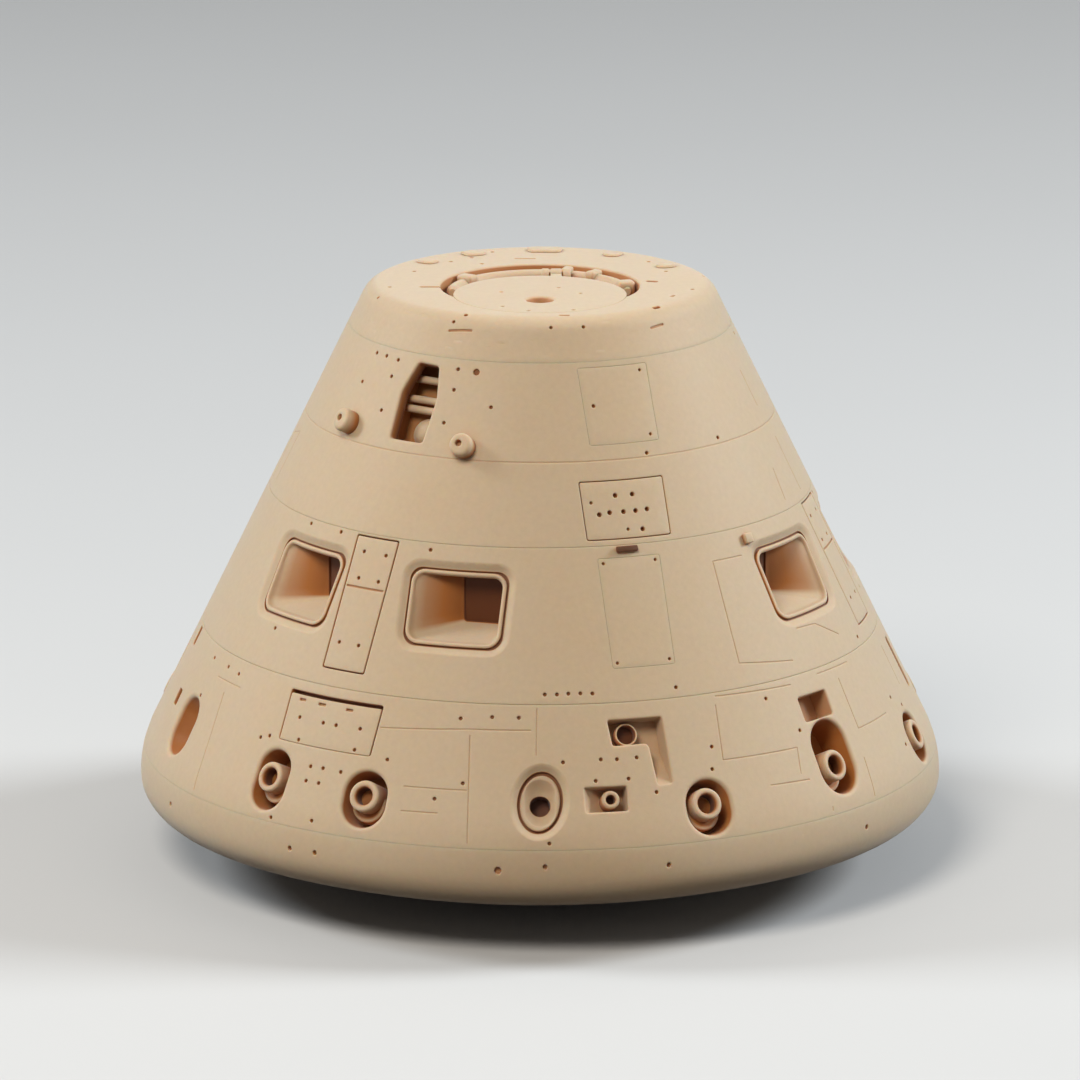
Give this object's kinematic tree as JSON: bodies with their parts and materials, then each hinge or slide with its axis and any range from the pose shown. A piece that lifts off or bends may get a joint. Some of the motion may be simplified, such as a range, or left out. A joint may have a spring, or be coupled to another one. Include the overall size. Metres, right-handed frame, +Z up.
{
  "type": "space capsule display model",
  "caption": "Blunt conical space capsule display model of stacked hull rings, with hinged docking and crew hatches, window wells and thrusters.",
  "frame": {"origin": "centre of the flat foot under the heat shield", "axes": "+Z up along the hull's axis; -Y towards the front, where the oval thruster cup is; +X to its right"},
  "size_m": [0.16, 0.16, 0.1179],
  "materials": {
    "print": "matte",
    "shaded_print": "matte"
  },
  "bodies": {
    "capsule": {"heat_shield": "print", "lower_shell": "print", "middle_shell": "print", "upper_shell": "print", "top_deck": "print", "docking_tunnel": "print", "docking_hinge_pin": "shaded_print", "crew_hinge_pin": "shaded_print", "equipment_bay": "shaded_print", "bay_straps": "print", "bay_dome": "print", "panel_lens": "shaded_print", "umbilical_stub": "print", "vernier_nozzle": "print", "vent_pipe": "print", "deck_hose": "print", "deck_pads": "print", "window_left_outer": "print", "window_left_inner": "print", "window_right_inner": "print", "window_right_outer": "print", "window_strap_left": "print", "window_strap_right": "print", "access_panel_middle": "print", "access_panel_upper": "print", "fastener_panel": "print", "slot_panel": "print", "sensor_knob_left": "print", "sensor_knob_right": "print", "thruster_1": "print", "thruster_2": "print", "thruster_3": "print", "thruster_4": "print", "thruster_5": "print", "thruster_6": "print", "thruster_7": "print", "thruster_8": "print", "thruster_9": "print", "thruster_10": "print", "thruster_11": "print", "thruster_12": "print"},
    "docking_lid": {"docking_hatch": "print"},
    "crew_door": {"crew_hatch": "print", "crew_hatch_handle": "print"}
  },
  "joints": [
    {"name": "docking_hatch_hinge", "type": "hinge", "parent": "capsule", "child": "docking_lid", "pos_m": [0.0032, 0.0092, 0.116], "axis": [-1, 0, 0], "range_deg": [0, 100]},
    {"name": "crew_hatch_hinge", "type": "hinge", "parent": "capsule", "child": "crew_door", "pos_m": [0.0108, 0.06011, 0.06218], "axis": [0, 0.4384, -0.8988], "range_deg": [0, 105]}
  ]
}
